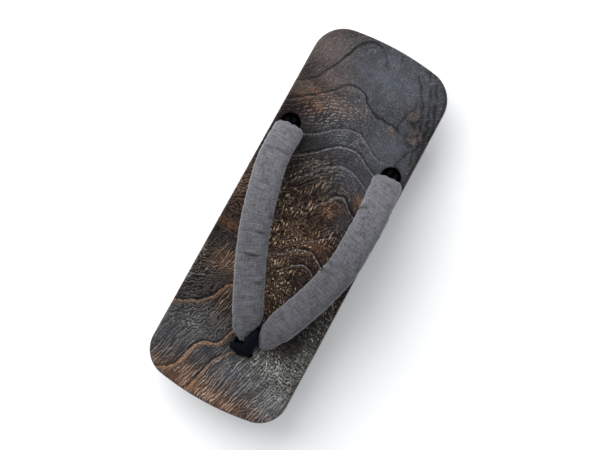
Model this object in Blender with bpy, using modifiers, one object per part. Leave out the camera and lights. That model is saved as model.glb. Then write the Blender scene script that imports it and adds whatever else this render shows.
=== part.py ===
# Geta sandal for the right foot: a burnt wooden deck and its two teeth, carved from one block,
# under a padded thong that a black loop ties down at the front and cords tie down at the back.
# Metres, +Z up, floor at Z = 0. Toe end at -Y, heel end at +Y, inner side of the foot at +X.

import math

import bmesh
import bpy
from mathutils import Vector

# Block, seen from above
LENGTH = 0.264
TOE_WIDTH = 0.0997
HEEL_WIDTH = 0.0961
END_RADIUS = 0.190
TOE_CORNER_RADIUS = 0.020
HEEL_CORNER_RADIUS = 0.0215

# Block, seen from the side
HEIGHT = 0.046
DISH_DEPTH = 0.002
DECK_THICKNESS = 0.018
TIP_THICKNESS = 0.013
TOOTH_THICKNESS = 0.019
TOOTH_TAPER = 0.001
FRONT_TOOTH_FROM_TOE = 0.058
REAR_TOOTH_FROM_HEEL = 0.043
ROOT_FILLET = 0.005
FOOT_ROUND = 0.0015
TOP_ROUND = 0.0022
LOWER_CHAMFER = 0.0012

# Holes through the deck
HOLE_RADIUS = 0.0067
HOLE_RIM = 0.001
TOE_HOLE_FROM_TOE = 0.0447
TOE_HOLE_SIDE = 0.0057
REAR_HOLES_FROM_HEEL = 0.0763
OUTER_HOLE_SIDE = 0.0377
INNER_HOLE_SIDE = 0.0375

# Padded thong
STRAP_WIDTH = 0.0206
STRAP_THICKNESS = 0.0125
STRAP_RISE = 0.030
OUTER_BOW = 0.0106
INNER_BOW = 0.0150
SEAT_DEPTH = 0.007

# Neck that joins the two arms, and the loop over it
NECK_SIDE = 0.0094
NECK_FROM_TOE = 0.0506
NECK_HEIGHT = 0.0135
NECK_DEPTH = 0.0074
NECK_THICKNESS = 0.0075
NECK_SPAN = 0.0150
LOOP_WIDTH = 0.0076
LOOP_BACK_WIDTH = 0.0034
LOOP_FAN_WIDTH = 0.0165
LOOP_THICKNESS = 0.0047

# Cords under the deck
KNOT_RADIUS = 0.0085
CORD_RADIUS = 0.0027
TAIL_LENGTH = 0.017

# Room between touching pieces
GAP = 0.0003
FIT = 0.0005
LOOP_ROOM = 0.0007

HALF_LENGTH = LENGTH / 2
SIDE_SLOPE = (HEEL_WIDTH - TOE_WIDTH) / (2 * LENGTH)
MIDDLE_HALF_WIDTH = (TOE_WIDTH + HEEL_WIDTH) / 4
UNDERSIDE = HEIGHT - DECK_THICKNESS
TOE_HOLE = Vector((TOE_HOLE_SIDE, TOE_HOLE_FROM_TOE - HALF_LENGTH))
OUTER_HOLE = Vector((-OUTER_HOLE_SIDE, HALF_LENGTH - REAR_HOLES_FROM_HEEL))
INNER_HOLE = Vector((INNER_HOLE_SIDE, HALF_LENGTH - REAR_HOLES_FROM_HEEL))
NECK = Vector((NECK_SIDE, NECK_FROM_TOE - HALF_LENGTH))

# An arm's sections from its rear hole to its front end. run is the share of the way from the hole to
# the neck, bow and rise are shares of the arm's bow and of STRAP_RISE, width and thickness of the strap's.
OUTER_ARM = (
    # run, bow, rise, width, thickness
    (0.014, 0.02, 0.23, 0.90, 0.74),
    (0.042, 0.12, 0.43, 0.99, 0.90),
    (0.105, 0.42, 0.68, 0.98, 0.97),
    (0.200, 0.72, 0.87, 1.00, 1.00),
    (0.340, 0.90, 0.99, 1.00, 1.00),
    (0.485, 1.00, 1.00, 1.00, 1.00),
    (0.610, 0.94, 0.97, 1.00, 1.00),
    (0.710, 0.83, 0.92, 1.00, 1.00),
    (0.810, 0.68, 0.82, 1.00, 1.00),
    (0.860, 0.60, 0.75, 1.00, 0.98),
    (0.896, 0.57, 0.69, 0.97, 0.94),
    (0.930, 0.65, 0.61, 0.81, 0.86),
    (0.953, 0.70, 0.55, 0.66, 0.78),
    (0.981, 0.67, 0.48, 0.42, 0.66),
    (1.003, 0.64, 0.44, 0.18, 0.48),
)
INNER_ARM = (
    # run, bow, rise, width, thickness
    (0.014, 0.06, 0.23, 0.92, 0.74),
    (0.042, 0.15, 0.43, 1.00, 0.90),
    (0.105, 0.30, 0.68, 0.99, 0.97),
    (0.200, 0.56, 0.87, 1.00, 1.00),
    (0.340, 0.81, 0.99, 1.00, 1.00),
    (0.477, 1.00, 1.00, 1.00, 1.00),
    (0.605, 0.95, 0.97, 1.00, 1.00),
    (0.700, 0.85, 0.92, 1.00, 1.00),
    (0.785, 0.72, 0.84, 1.00, 1.00),
    (0.850, 0.61, 0.76, 1.00, 0.98),
    (0.885, 0.55, 0.70, 0.94, 0.95),
    (0.915, 0.51, 0.65, 0.84, 0.90),
    (0.945, 0.51, 0.58, 0.69, 0.82),
    (0.976, 0.51, 0.50, 0.50, 0.70),
    (1.000, 0.51, 0.45, 0.26, 0.52),
)

# How finely the curves are cut
ARC_STEPS = 6
CORNER_STEPS = 8
SIDE_STEP = 0.020
ROUND_STEPS = 3
RIM_STEPS = 2
RING_POINTS = 18
TAIL_POINTS = 10
SPAN_STEPS = 2
HEADING_REACH = 6
HOLE_SEGMENTS = 24
WRAP_SEGMENTS = 18


def half_width(y):
    return MIDDLE_HALF_WIDTH + SIDE_SLOPE * y


def deck_top(y):
    return HEIGHT - DISH_DEPTH * (1 - (y / HALF_LENGTH) ** 2)


def clear_scene():
    for obj in list(bpy.data.objects):
        bpy.data.objects.remove(obj, do_unlink=True)


def make_collection(name):
    collection = bpy.data.collections.new(name)
    bpy.context.scene.collection.children.link(collection)
    return collection


def make_material(name, color, roughness):
    material = bpy.data.materials.new(name)
    material.use_nodes = True
    shader = material.node_tree.nodes["Principled BSDF"]
    shader.inputs["Base Color"].default_value = (*color, 1.0)
    shader.inputs["Roughness"].default_value = roughness
    shader.inputs["Metallic"].default_value = 0.0
    return material


def make_object(name, mesh, collection, material=None):
    obj = bpy.data.objects.new(name, mesh)
    collection.objects.link(obj)
    if material:
        mesh.materials.append(material)
    return obj


def make_helper(obj):
    obj.hide_render = True
    obj.display_type = "WIRE"
    return obj


def add_boolean(obj, other, operation):
    modifier = obj.modifiers.new(f"{operation} {other.name}", "BOOLEAN")
    modifier.operation = operation
    modifier.solver = "EXACT"
    modifier.object = other


def corner_arc(end, radius):
    """Centre of the corner arc that is tangent to a straight side and to the bowed end."""
    end_centre = Vector((0.0, end * (HALF_LENGTH - END_RADIUS)))
    along = Vector((SIDE_SLOPE, 1.0))
    inward = Vector((-1.0, SIDE_SLOPE)).normalized()
    start = Vector((MIDDLE_HALF_WIDTH, 0.0)) + radius * inward - end_centre
    a = along.dot(along)
    b = start.dot(along)
    c = start.dot(start) - (END_RADIUS - radius) ** 2
    t = (-b + end * math.sqrt(b * b - a * c)) / a
    return end_centre + start + t * along, end_centre, inward


def arc_points(centre, radius, start, stop, steps):
    """Points and outward directions on an arc, from one angle to the other."""
    points = []
    for i in range(steps + 1):
        angle = start + (stop - start) * i / steps
        outward = Vector((math.cos(angle), math.sin(angle)))
        points.append((centre + radius * outward, outward))
    return points


def angle_of(direction):
    return math.atan2(direction.y, direction.x)


def tooth_profile(front, back):
    """Side view of one tooth from the deck's underside in front of it to the one behind it."""
    points = []
    for i in range(ROUND_STEPS + 2):
        a = math.pi / 2 * i / (ROUND_STEPS + 1)
        shape = ROOT_FILLET * (1 - math.sin(a))
        points.append((front - shape, UNDERSIDE - ROOT_FILLET * (1 - math.cos(a))))
    for i in range(ROUND_STEPS + 1):
        a = math.pi / 2 * i / ROUND_STEPS
        shape = FOOT_ROUND * (1 - math.cos(a))
        points.append((front + TOOTH_TAPER + shape, FOOT_ROUND * (1 - math.sin(a))))
    mirrored = [(front + back - y, z) for y, z in reversed(points)]
    return points + mirrored


def underside_profile():
    """Side view of everything below the deck, from the toe end to the heel end, as rising y values."""
    front = FRONT_TOOTH_FROM_TOE - HALF_LENGTH
    rear = HALF_LENGTH - REAR_TOOTH_FROM_HEEL
    points = [(-HALF_LENGTH, HEIGHT - TIP_THICKNESS)]
    points += tooth_profile(front, front + TOOTH_THICKNESS)
    points += tooth_profile(rear - TOOTH_THICKNESS, rear)
    points.append((HALF_LENGTH, HEIGHT - TIP_THICKNESS))
    return points


def height_at(profile, y):
    for (y0, z0), (y1, z1) in zip(profile, profile[1:]):
        if y <= y1:
            return z0 + (z1 - z0) * max(0.0, y - y0) / (y1 - y0)
    return profile[-1][1]


def outline_stations(profile):
    """Right half of the plan outline from toe tip to heel tip: points and outward directions."""
    stations = []
    toe_corner, toe_centre, inward = corner_arc(-1, TOE_CORNER_RADIUS)
    heel_corner, heel_centre, _ = corner_arc(1, HEEL_CORNER_RADIUS)
    turn = angle_of(toe_corner - toe_centre)
    side = angle_of(-inward)
    stations += arc_points(toe_centre, END_RADIUS, -math.pi / 2, turn, ARC_STEPS)[:-1]
    stations += arc_points(toe_corner, TOE_CORNER_RADIUS, turn, side, CORNER_STEPS)
    low = stations[-1][0].y
    turn = angle_of(heel_corner - heel_centre)
    heel = arc_points(heel_corner, HEEL_CORNER_RADIUS, side, turn, CORNER_STEPS)
    high = heel[0][0].y
    heights = [low] + [y for y, z in profile if low < y < high] + [high]
    for y0, y1 in zip(heights, heights[1:]):
        parts = max(1, math.ceil((y1 - y0) / SIDE_STEP))
        for i in range(1, parts + 1):
            y = y0 + (y1 - y0) * i / parts
            if y < high:
                stations.append((Vector((half_width(y), y)), -inward))
    stations += heel
    stations += arc_points(heel_centre, END_RADIUS, turn, math.pi / 2, ARC_STEPS)[1:]
    return stations


def section_at(point, outward, profile):
    """Chain of points around the right half of one section, from the lower middle to the upper middle."""
    low = point - LOWER_CHAMFER * outward
    chain = [(0.0, low.y, height_at(profile, low.y)), (low.x, low.y, height_at(profile, low.y))]
    chain.append((point.x, point.y, height_at(profile, point.y) + LOWER_CHAMFER))
    for i in range(ROUND_STEPS + 1):
        a = math.pi / 2 * i / ROUND_STEPS
        inner = point - TOP_ROUND * (1 - math.cos(a)) * outward
        chain.append((inner.x, inner.y, deck_top(inner.y) - TOP_ROUND * (1 - math.sin(a))))
    chain.append((0.0, inner.y, deck_top(inner.y)))
    return chain


def make_block(collection, material):
    """Half of the block as a loft of sections from toe to heel, mirrored across the middle."""
    profile = underside_profile()
    mesh = bpy.data.meshes.new("wooden_base")
    bm = bmesh.new()
    chains = []
    for point, outward in outline_stations(profile):
        chains.append([bm.verts.new(p) for p in section_at(point, outward, profile)])
    for one, two in zip(chains, chains[1:]):
        for i in range(len(one) - 1):
            bm.faces.new((one[i], two[i], two[i + 1], one[i + 1]))
    bmesh.ops.remove_doubles(bm, verts=bm.verts, dist=1e-6)
    bmesh.ops.dissolve_degenerate(bm, edges=bm.edges, dist=1e-6)
    bm.to_mesh(mesh)
    bm.free()
    block = make_object("wooden_base", mesh, collection, material)
    mirror = block.modifiers.new("other half", "MIRROR")
    mirror.use_axis = (True, False, False)
    mirror.use_clip = True
    mirror.merge_threshold = 1e-6
    return block


def make_hole_cutter(name, hole, profile, collection):
    """Turned cutter with a softened rim at both mouths."""
    top = deck_top(hole.y)
    bottom = height_at(profile, hole.y)
    reach = 2 * HOLE_RIM
    outline = [(0.0, top + reach), (HOLE_RADIUS + HOLE_RIM, top + reach)]
    for i in range(RIM_STEPS + 1):
        a = math.pi / 2 * i / RIM_STEPS
        flare, drop = HOLE_RIM * (1 - math.sin(a)), HOLE_RIM * (1 - math.cos(a))
        outline.append((HOLE_RADIUS + flare, top - drop))
    for i in range(RIM_STEPS + 1):
        a = math.pi / 2 * i / RIM_STEPS
        flare, rise = HOLE_RIM * (1 - math.cos(a)), HOLE_RIM * (1 - math.sin(a))
        outline.append((HOLE_RADIUS + flare, bottom + rise))
    outline += [(HOLE_RADIUS + HOLE_RIM, bottom - reach), (0.0, bottom - reach)]
    return make_helper(turn_profile(name, outline, hole, collection))


def turn_profile(name, outline, place, collection, material=None):
    """Solid turned about a vertical axis from a profile that runs down its outer side."""
    mesh = bpy.data.meshes.new(name)
    edges = [(i, i + 1) for i in range(len(outline) - 1)]
    mesh.from_pydata([(r, 0.0, z) for r, z in outline], edges, [])
    obj = make_object(name, mesh, collection, material)
    obj.location = (place.x, place.y, 0.0)
    screw = obj.modifiers.new("turn", "SCREW")
    screw.steps = HOLE_SEGMENTS
    screw.render_steps = HOLE_SEGMENTS
    screw.use_merge_vertices = True
    screw.merge_threshold = 1e-6
    return obj


def smooth_rows(rows):
    """Rows between the given ones, on a curve through them all, paced by the distance between centres."""
    pace = [0.0]
    for one, two in zip(rows, rows[1:]):
        pace.append(pace[-1] + math.sqrt((Vector(two[:3]) - Vector(one[:3])).length))
    slopes = []
    for i in range(len(rows)):
        low, high = max(0, i - 1), min(len(rows) - 1, i + 1)
        span = pace[high] - pace[low]
        slopes.append([(b - a) / span for a, b in zip(rows[low], rows[high])])
    result = []
    for i in range(len(rows) - 1):
        width = pace[i + 1] - pace[i]
        for step in range(SPAN_STEPS):
            t = step / SPAN_STEPS
            keep = 2 * t**3 - 3 * t**2 + 1
            leave = (t**3 - 2 * t**2 + t) * width
            arrive = (t**3 - t**2) * width
            result.append(
                [
                    keep * a + (1 - keep) * b + leave * sa + arrive * sb
                    for a, b, sa, sb in zip(rows[i], rows[i + 1], slopes[i], slopes[i + 1])
                ]
            )
    result.append(list(rows[-1]))
    return result


def loft(name, rows, side_of, collection, material=None, fullness=2.5, points=RING_POINTS):
    """Closed tube of oval sections: each row is x, y, z, width, thickness; side_of gives its level axis.

    The level axis follows the heading over a stretch of rows, so that an end may taper askew."""
    mesh = bpy.data.meshes.new(name)
    bm = bmesh.new()
    rings = []
    for i, row in enumerate(rows):
        before, after = rows[max(0, i - 1)], rows[min(len(rows) - 1, i + 1)]
        along = (Vector(after[:3]) - Vector(before[:3])).normalized()
        start, stop = rows[max(0, i - HEADING_REACH)], rows[min(len(rows) - 1, i + HEADING_REACH)]
        side = side_of(Vector(stop[:3]) - Vector(start[:3]))
        side = (side - along * side.dot(along)).normalized()
        up = side.cross(along).normalized()
        ring = []
        for j in range(points):
            a = 2 * math.pi * j / points
            across = math.copysign(abs(math.cos(a)) ** (2 / fullness), math.cos(a)) * row[3] / 2
            lift = math.copysign(abs(math.sin(a)) ** (2 / fullness), math.sin(a)) * row[4] / 2
            ring.append(bm.verts.new(Vector(row[:3]) + across * side + lift * up))
        rings.append(ring)
    for one, two in zip(rings, rings[1:]):
        for j in range(points):
            k = (j + 1) % points
            bm.faces.new((one[j], one[k], two[k], two[j]))
    bm.faces.new(reversed(rings[0]))
    bm.faces.new(rings[-1])
    bmesh.ops.recalc_face_normals(bm, faces=bm.faces)
    bm.to_mesh(mesh)
    bm.free()
    mesh.shade_smooth()
    return make_object(name, mesh, collection, material)


def level_side(along):
    """Level axis across a strap that runs along the sandal, also where it dives into a hole."""
    return Vector((along.y, -along.x, 0.0)).normalized()


def crosswise_side(along):
    """Level axis of a band that runs in the plane of the sandal's length."""
    return Vector((1.0, 0.0, 0.0))


def hole_seat(hole, heading):
    """Place and size of a strap end that fills the half of a hole on the side it comes from."""
    place = hole + heading * HOLE_RADIUS * 0.5
    return place, 1.4 * (HOLE_RADIUS - FIT), 0.84 * (HOLE_RADIUS - FIT)


def arm_rows(hole, table, bow, outer_side):
    """Sections of one padded arm, from inside its hole to its front end."""
    way = NECK - hole
    heading = way.normalized()
    aside = Vector((heading.y, -heading.x)) * outer_side
    seat, seat_width, seat_thickness = hole_seat(hole, heading)
    floor = deck_top(hole.y)
    lean = heading * HOLE_RADIUS / 8
    rows = [
        (seat.x - lean.x, seat.y - lean.y, floor - SEAT_DEPTH, seat_width, seat_thickness),
        (seat.x, seat.y, floor + HOLE_RIM / 2, seat_width, seat_thickness),
    ]
    start = 0.5 * HOLE_RADIUS / way.length
    for run, side, rise, width, thickness in table:
        share = start + run * (1 - start)
        place = hole + way * share + aside * side * bow
        height = deck_top(place.y) + rise * STRAP_RISE
        rows.append((place.x, place.y, height, width * STRAP_WIDTH, thickness * STRAP_THICKNESS))
    return smooth_rows(rows)


def make_straps(collection, helpers, material):
    """Both padded arms and the neck that joins them, as one solid."""
    outer_rows = arm_rows(OUTER_HOLE, OUTER_ARM, OUTER_BOW, 1)
    inner_rows = arm_rows(INNER_HOLE, INNER_ARM, INNER_BOW, -1)
    straps = loft("straps", outer_rows, level_side, collection, material=material)
    inner = make_helper(loft("inner_arm", inner_rows, level_side, helpers))
    height = deck_top(NECK.y) + NECK_HEIGHT
    bar_rows = []
    for share, size in ((-1.0, 0.5), (-0.8, 0.9), (-0.4, 1.0), (0.4, 1.0), (0.8, 0.9), (1.0, 0.5)):
        x = NECK.x + share * NECK_SPAN / 2
        bar_rows.append((x, NECK.y, height, size * NECK_DEPTH, size * NECK_THICKNESS))
    neck = make_helper(loft("neck", bar_rows, level_side, helpers))
    add_boolean(straps, inner, "UNION")
    add_boolean(straps, neck, "UNION")
    return straps


def make_toe_loop(collection, material):
    """Black band from the hole's toe side, up over the neck and down into the hole behind it."""
    floor = deck_top(TOE_HOLE.y)
    neck_height = floor + NECK_HEIGHT
    front, width, thickness = hole_seat(TOE_HOLE, Vector((0.0, -1.0)))
    back, _, _ = hole_seat(TOE_HOLE, Vector((0.0, 1.0)))
    reach = NECK_DEPTH / 2 + LOOP_ROOM + LOOP_THICKNESS / 2
    lift = NECK_THICKNESS / 2 + GAP + LOOP_THICKNESS / 2
    low = neck_height - NECK_THICKNESS / 2
    mouth = floor + HOLE_RIM / 2
    shoulder = 0.7 * reach
    rows = [
        (TOE_HOLE.x, front.y, floor - SEAT_DEPTH, width, thickness),
        (TOE_HOLE.x, front.y, mouth, width, thickness),
        (TOE_HOLE.x, front.y, floor + 0.6 * LOOP_THICKNESS, LOOP_FAN_WIDTH, 1.3 * LOOP_THICKNESS),
        (TOE_HOLE.x, NECK.y - 1.35 * reach, low - 0.4 * LOOP_THICKNESS, 0.86 * LOOP_FAN_WIDTH, 1.2 * LOOP_THICKNESS),
        (NECK.x, NECK.y - reach, neck_height, 1.1 * LOOP_WIDTH, LOOP_THICKNESS),
        (NECK.x, NECK.y - shoulder, neck_height + 0.75 * lift, LOOP_WIDTH, LOOP_THICKNESS),
        (NECK.x, NECK.y, neck_height + lift, LOOP_WIDTH, LOOP_THICKNESS),
        (NECK.x, NECK.y + shoulder, neck_height + 0.75 * lift, 1.1 * LOOP_BACK_WIDTH, LOOP_THICKNESS),
        (NECK.x, NECK.y + reach, neck_height, LOOP_BACK_WIDTH, 0.9 * LOOP_THICKNESS),
        (NECK.x, NECK.y + reach, low, LOOP_BACK_WIDTH, 0.9 * LOOP_THICKNESS),
        (TOE_HOLE.x, back.y, mouth, width, thickness),
        (TOE_HOLE.x, back.y, floor - SEAT_DEPTH, width, thickness),
    ]
    return loft("toe_loop", smooth_rows(rows), crosswise_side, collection, material=material)


def add_wrap(knot, name, place, height, tilt, collection):
    """One turn of cord around a knot."""
    bpy.ops.mesh.primitive_torus_add(
        major_segments=WRAP_SEGMENTS,
        minor_segments=TAIL_POINTS,
        major_radius=KNOT_RADIUS - CORD_RADIUS,
        minor_radius=CORD_RADIUS,
        location=(place.x, place.y, height),
        rotation=(tilt, 0.0, 0.0),
    )
    wrap = bpy.context.object
    wrap.name = name
    for used in list(wrap.users_collection):
        used.objects.unlink(wrap)
    collection.objects.link(wrap)
    add_boolean(knot, make_helper(wrap), "UNION")


def add_tail(knot, name, place, height, direction, collection):
    """Cord end that leaves a knot sideways and droops a little."""
    rows = []
    for share in (0.15, 0.40, 0.65, 0.85, 0.97, 1.0):
        point = place + direction * TAIL_LENGTH * share
        droop = CORD_RADIUS * share**2
        size = 2 * CORD_RADIUS * math.sqrt(1 - max(0.0, share - 0.65) ** 2 / 0.15)
        rows.append((point.x, point.y, height - droop, size, size))
    tail = loft(name, rows, level_side, collection, fullness=2.0, points=TAIL_POINTS)
    add_boolean(knot, make_helper(tail), "UNION")


def make_knot(name, hole, tails, profile, collection, helpers, material):
    """Cord end that fills the lower part of a hole and is tied below the deck."""
    top = deck_top(hole.y) - SEAT_DEPTH - 3 * GAP
    mouth = min(height_at(profile, hole.y + side * KNOT_RADIUS) for side in (-1, 0, 1))
    radius = HOLE_RADIUS - FIT
    core = KNOT_RADIUS - 1.15 * CORD_RADIUS
    upper_wrap = mouth - GAP - CORD_RADIUS
    lower_wrap = upper_wrap - 1.5 * CORD_RADIUS
    outline = [(0.0, top), (0.8 * radius, top), (radius, top - 0.2 * radius), (radius, mouth)]
    outline += [(core, upper_wrap), (core, lower_wrap - 0.6 * CORD_RADIUS)]
    outline += [(0.0, lower_wrap - 0.8 * CORD_RADIUS)]
    knot = turn_profile(name, outline, hole, collection, material)
    add_wrap(knot, name + "_upper_wrap", hole, upper_wrap, 0.0, helpers)
    add_wrap(knot, name + "_lower_wrap", hole, lower_wrap, 0.2, helpers)
    for index, angle in enumerate(tails):
        direction = Vector((math.cos(angle), math.sin(angle)))
        add_tail(knot, f"{name}_tail_{index}", hole, lower_wrap, direction, helpers)
    return knot


def main():
    clear_scene()
    parts = make_collection("geta_sandal")
    helpers = make_collection("cutters")
    wood = make_material("burnt_wood", (0.075, 0.045, 0.03), 0.45)
    cotton = make_material("grey_cotton", (0.13, 0.125, 0.13), 0.9)
    velvet = make_material("black_velvet", (0.006, 0.006, 0.008), 0.95)
    cord = make_material("black_cord", (0.01, 0.01, 0.012), 0.85)

    profile = underside_profile()
    block = make_block(parts, wood)
    for name, hole in (("toe_hole", TOE_HOLE), ("outer_hole", OUTER_HOLE), ("inner_hole", INNER_HOLE)):
        add_boolean(block, make_hole_cutter(name, hole, profile, helpers), "DIFFERENCE")
    make_straps(parts, helpers, cotton)
    make_toe_loop(parts, velvet)
    for name, hole, tails in (
        ("toe_knot", TOE_HOLE, (0.1, math.pi - 0.2)),
        ("outer_knot", OUTER_HOLE, (0.0, -1.2)),
        ("inner_knot", INNER_HOLE, (math.pi, -1.9)),
    ):
        make_knot(name, hole, tails, profile, parts, helpers, cord)


main()
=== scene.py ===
# Looks of a geta sandal for the right foot: burnt and brushed wood, stuffed cotton thong, velvet loop, cords
# Metres, +Z up, toe end at -Y, heel end at +Y, inner side of the foot at +X
from math import atan2, ceil, cos, dist, pi, radians, sin, sqrt, tau

import bmesh
import bpy
import numpy as np
from mathutils import Matrix, Vector


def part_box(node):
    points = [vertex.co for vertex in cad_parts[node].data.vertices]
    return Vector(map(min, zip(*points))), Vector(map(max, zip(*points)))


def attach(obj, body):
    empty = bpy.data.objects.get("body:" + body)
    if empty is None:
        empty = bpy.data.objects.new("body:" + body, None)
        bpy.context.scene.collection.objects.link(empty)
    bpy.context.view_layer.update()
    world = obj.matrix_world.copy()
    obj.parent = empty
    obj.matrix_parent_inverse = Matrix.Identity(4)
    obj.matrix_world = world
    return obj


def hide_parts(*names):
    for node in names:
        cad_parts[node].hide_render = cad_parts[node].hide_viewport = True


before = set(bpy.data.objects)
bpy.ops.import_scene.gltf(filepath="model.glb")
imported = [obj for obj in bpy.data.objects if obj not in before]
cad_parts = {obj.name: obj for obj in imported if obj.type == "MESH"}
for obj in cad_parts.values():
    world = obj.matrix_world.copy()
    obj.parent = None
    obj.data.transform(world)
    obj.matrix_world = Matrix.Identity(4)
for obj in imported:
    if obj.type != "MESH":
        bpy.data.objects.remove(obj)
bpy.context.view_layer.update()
mm = 0.001
print("frame loaded:", ", ".join(sorted(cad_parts)))


def newObject(name, data, material=None):
    obj = bpy.data.objects.new(name, data)
    bpy.context.scene.collection.objects.link(obj)
    if material:
        data.materials.append(material)
        data.shade_smooth()
    return obj


# Camera

view = {
    "roll": radians(28.7),  # the sandal lies aslant in the picture, heel to the upper right
    "tilt": radians(3.0),  # the camera stands a little towards the picture's lower edge
    "distance": 2.2,
    "frameHeight": 0.296,  # what the picture's height takes in at the deck
    "frameShape": 600 / 450,
    "aim": (0.0, 0.0, 0.040),
}


def placeCamera():
    across = Vector((cos(view["roll"]), sin(view["roll"]), 0.0))
    upward = Vector((-sin(view["roll"]), cos(view["roll"]), 0.0))
    zenith = Vector((0.0, 0.0, 1.0))
    back = zenith * cos(view["tilt"]) - upward * sin(view["tilt"])
    top = upward * cos(view["tilt"]) + zenith * sin(view["tilt"])
    data = bpy.data.cameras.new("sandalCamera")
    data.sensor_width = 36.0
    data.lens = data.sensor_width * view["distance"] / (view["frameHeight"] * view["frameShape"])
    camera = newObject("sandalCamera", data)
    place = Vector(view["aim"]) + back * view["distance"]
    camera.matrix_world = Matrix.Translation(place) @ Matrix((across, top, back)).transposed().to_4x4()
    bpy.context.scene.camera = camera
    return across, upward


pictureRight, pictureUp = placeCamera()


# Mesh helpers

def meshFromRings(name, rings):
    count, around = rings.shape[:2]
    faces = []
    for low in range(0, (count - 1) * around, around):
        for j in range(around):
            k = (j + 1) % around
            faces.append((low + j, low + k, low + around + k, low + around + j))
    faces += [tuple(reversed(range(around))), tuple(range((count - 1) * around, count * around))]
    mesh = bpy.data.meshes.new(name)
    mesh.from_pydata(rings.reshape(-1, 3).tolist(), [], faces)
    return mesh


def faceOutward(mesh, weld=True):
    bm = bmesh.new()
    bm.from_mesh(mesh)
    if weld:
        bmesh.ops.remove_doubles(bm, verts=bm.verts, dist=1e-7)
        bmesh.ops.dissolve_degenerate(bm, edges=bm.edges, dist=1e-7)
    bmesh.ops.recalc_face_normals(bm, faces=bm.faces)
    bm.to_mesh(mesh)
    bm.free()


def meshPoints(mesh):
    flat = np.empty(len(mesh.vertices) * 3)
    mesh.vertices.foreach_get("co", flat)
    return flat.reshape(-1, 3)


def storeValues(mesh, name, values):
    layer = mesh.attributes.new(name, "FLOAT", "POINT")
    layer.data.foreach_set("value", np.asarray(values, np.float32))


def smoothStep(low, high, value):
    t = np.clip((value - low) / (high - low), 0.0, 1.0)
    return t * t * (3 - 2 * t)


def bell(value, width):
    return np.exp(-((value / width) ** 2))


def quarterTurn(steps):
    # What sine and cosine lack to one, for rounded corners
    return [(1 - sin(pi / 2 * i / steps), 1 - cos(pi / 2 * i / steps)) for i in range(steps + 1)]


def evenTurns(count):
    return tau * np.arange(count) / count


def hills(x, y, size, seed):
    turn = np.random.default_rng(seed)
    total = np.zeros_like(x)
    for _ in range(14):
        angle = turn.uniform(0, tau)
        pace = turn.uniform(0.6, 1.5) * tau / (size * mm)
        phase = turn.uniform(0, tau)
        total += np.sin((x * cos(angle) + y * sin(angle)) * pace + phase)
    return total / 14**0.5


# Material helpers

def newMaterial(name):
    global tree  # the nodes of the material that is being made
    material = bpy.data.materials.new(name)
    material.use_nodes = True
    tree = material.node_tree
    return material, tree.nodes["Principled BSDF"]


def addNode(kind, inputs=None, **settings):
    made = tree.nodes.new(kind)
    for name, value in settings.items():
        setattr(made, name, value)
    for name, value in (inputs or {}).items():
        feed(made.inputs[name], value)
    return made


def feed(socket, value):
    if isinstance(value, bpy.types.NodeSocket):
        tree.links.new(value, socket)
    else:
        socket.default_value = value


def calc(operation, *values):
    return addNode("ShaderNodeMath", dict(enumerate(values)), operation=operation).outputs[0]


def times(one, two):
    return calc("MULTIPLY", one, two)


def timesPlus(one, two, three):
    return calc("MULTIPLY_ADD", one, two, three)


def blendColors(share, one, two):
    one, two = ((*color, 1.0) if isinstance(color, tuple) else color for color in (one, two))
    return addNode("ShaderNodeMix", {0: share, 6: one, 7: two}, data_type="RGBA").outputs[2]


def curve(value, stops):
    made = addNode("ShaderNodeValToRGB", {0: value})
    elements = made.color_ramp.elements
    while len(elements) < len(stops):
        elements.new(0.5)
    for element, (place, level) in zip(elements, stops):
        element.position = place
        element.color = (level, level, level, 1.0)
    return made.outputs[0]


def ramp(value, low, high, bottom=0.0, top=1.0):
    return curve(value, ((low, bottom), (high, top)))


def stored(name):
    return addNode("ShaderNodeAttribute", attribute_name=name).outputs["Fac"]


def objectPlace():
    return addNode("ShaderNodeTexCoord").outputs["Object"]


def scaled(color, amount):
    return addNode("ShaderNodeVectorMath", {"Vector": color, "Scale": amount}, operation="SCALE").outputs[0]


def turned(place, angle):
    return addNode("ShaderNodeMapping", {"Vector": place, "Rotation": (0.0, 0.0, angle)}).outputs[0]


def axes(place):
    return addNode("ShaderNodeSeparateXYZ", {"Vector": place}).outputs


def wave(phase):
    return timesPlus(calc("SINE", phase), 0.5, 0.5)


def noiseAt(place, scale, detail=3.0, roughness=0.55, stretch=(1.0, 1.0), turn=0.0):
    # The turn comes before the stretch, so the marks lie along the turned axes
    mapping = addNode("ShaderNodeMapping", {"Vector": turned(place, turn), "Scale": (*stretch, 1.0)})
    looks = {"Vector": mapping.outputs[0], "Scale": scale, "Detail": detail, "Roughness": roughness}
    return addNode("ShaderNodeTexNoise", looks).outputs["Fac"]


def surface(shader, height, strength, depth, looks):
    for name, value in looks.items():
        feed(shader.inputs[name], value)
    bump = addNode("ShaderNodeBump", {"Strength": strength, "Distance": depth * mm, "Height": height})
    feed(shader.inputs["Normal"], bump.outputs[0])
    return bump.outputs[0]


# Block of wood: deck and teeth

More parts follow.
